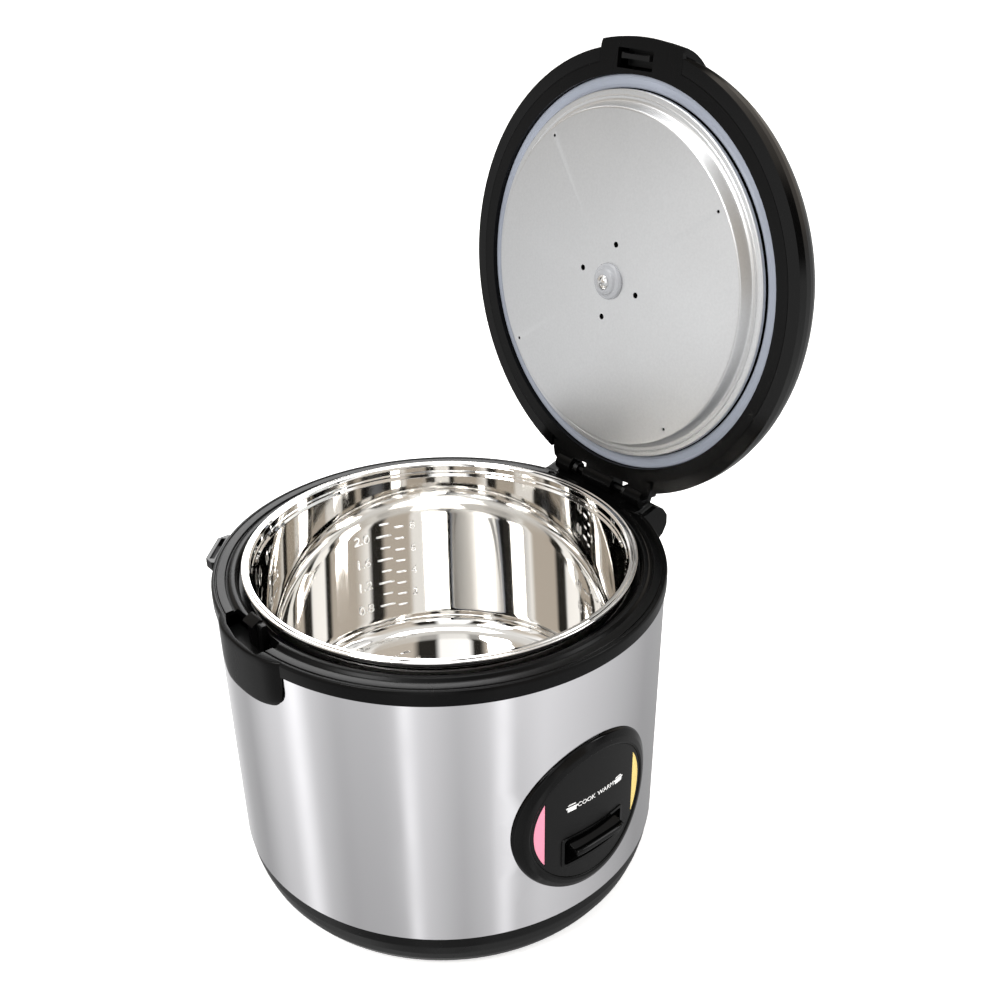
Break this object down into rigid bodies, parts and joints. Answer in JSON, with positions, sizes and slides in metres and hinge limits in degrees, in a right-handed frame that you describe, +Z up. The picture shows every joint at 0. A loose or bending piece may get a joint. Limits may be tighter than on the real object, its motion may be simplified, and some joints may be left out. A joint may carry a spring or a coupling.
{
  "type": "rice cooker",
  "caption": "Jar rice cooker with a hinged domed lid, lift-out pot, cook lever on a round panel, heating plate and thermostat inside.",
  "frame": {"origin": "on the surface under the feet, on the body's axis", "axes": "+Z up, control panel facing -Y, lid hinge at +X and latch at -X"},
  "size_m": [0.3468, 0.2844, 0.4972],
  "materials": {
    "black_gloss": "satin",
    "black_matte": "matte",
    "panel_dark": "satin",
    "shell_steel": "brushed",
    "pot_steel": "polished",
    "plate_aluminium": "satin",
    "cast_aluminium": "cast",
    "sheet_steel": "zinc",
    "spring_steel": "bright",
    "screw_steel": "bright",
    "magnet_grey": "matte",
    "mica": "matte",
    "element_sheath": "oxidised",
    "rubber_black": "matte",
    "silicone_grey": "satin",
    "silicone_clear": "translucent",
    "wire_red": "satin",
    "ceramic": "glazed",
    "brass": "plain",
    "lens_pink": "frosted",
    "lens_yellow": "frosted",
    "lamp_glass": "clear"
  },
  "bodies": {
    "housing": {"base_pan": "black_matte", "rubber_feet": "rubber_black", "base_screws": "screw_steel", "support_legs": "sheet_steel", "steel_shell": "shell_steel", "top_ring": "black_gloss", "scoop_loop": "black_gloss", "latch_hook": "black_gloss", "inner_liner": "sheet_steel", "warm_heater_band": "mica", "heating_plate": "cast_aluminium", "heating_element": "element_sheath", "plate_spacers": "screw_steel", "sensor_sleeve": "sheet_steel", "microswitch": "black_matte", "thermal_fuse": "ceramic", "terminal_block": "ceramic", "lead_wires": "wire_red", "inlet_socket": "black_matte", "inlet_pins": "brass", "panel_bezel": "black_gloss", "panel_face": "panel_dark", "cook_lens": "lens_pink", "warm_lens": "lens_yellow", "indicator_lamps": "lamp_glass", "lever_pin": "spring_steel", "hinge_pin": "spring_steel", "hinge_springs": "spring_steel", "hinge_screws": "screw_steel", "sensor_spring": "spring_steel"},
    "lid": {"lid_cover": "black_gloss", "lid_frame": "black_matte", "lid_gasket": "silicone_grey", "inner_plate": "plate_aluminium", "plate_grommet": "silicone_clear", "plate_screw": "screw_steel", "lid_screws": "screw_steel", "steam_tube": "silicone_clear", "catch_spring": "spring_steel"},
    "steam_cap": {"steam_cap": "black_gloss"},
    "button": {"release_button": "black_matte"},
    "catch": {"lid_catch": "panel_dark"},
    "pot": {"inner_pot": "pot_steel"},
    "lever": {"cook_lever": "black_gloss", "lever_link": "sheet_steel"},
    "magnet": {"cook_magnet": "magnet_grey", "magnet_bar": "sheet_steel"},
    "sensor": {"sensor_cap": "cast_aluminium"}
  },
  "joints": [
    {"name": "lid_hinge", "type": "hinge", "parent": "housing", "child": "lid", "pos_m": [0.1373, 0, 0.2184], "axis": [0, 1, 0], "range_deg": [-95, 0]},
    {"name": "pot_lift", "type": "slide", "parent": "housing", "child": "pot", "axis": [0, 0, 1], "range_m": [0, 0.2]},
    {"name": "cook_lever_press", "type": "hinge", "parent": "housing", "child": "lever", "pos_m": [0, -0.128, 0.0885], "axis": [1, 0, 0], "range_deg": [0, 12], "stiffness_Nm_per_rad": 0.15, "springref_deg": -11.46},
    {"name": "release_press", "type": "slide", "parent": "lid", "child": "button", "axis": [-0.9962, 0, 0.0872], "range_m": [0, 0.003], "stiffness_N_per_m": 300, "springref_m": -0.002},
    {"name": "catch_slide", "type": "slide", "parent": "lid", "child": "catch", "axis": [0.0872, 0, 0.9962], "range_m": [0, 0.0024]},
    {"name": "steam_cap_lift", "type": "slide", "parent": "lid", "child": "steam_cap", "axis": [0.9962, 0, -0.0872], "range_m": [0, 0.06]},
    {"name": "sensor_rise", "type": "slide", "parent": "housing", "child": "sensor", "axis": [0, 0, 1], "range_m": [0, 0.003], "deforming": ["sensor_spring"]},
    {"name": "magnet_lift", "type": "slide", "parent": "housing", "child": "magnet", "axis": [0, 0, 1], "range_m": [0, 0.005]}
  ],
  "couplings": [
    {"joint": "catch_slide", "follows": "release_press", "ratio": 0.8},
    {"joint": "sensor_rise", "follows": "pot_lift", "ratio": 0.015},
    {"joint": "magnet_lift", "follows": "cook_lever_press", "m_per_rad": 0.023871}
  ]
}
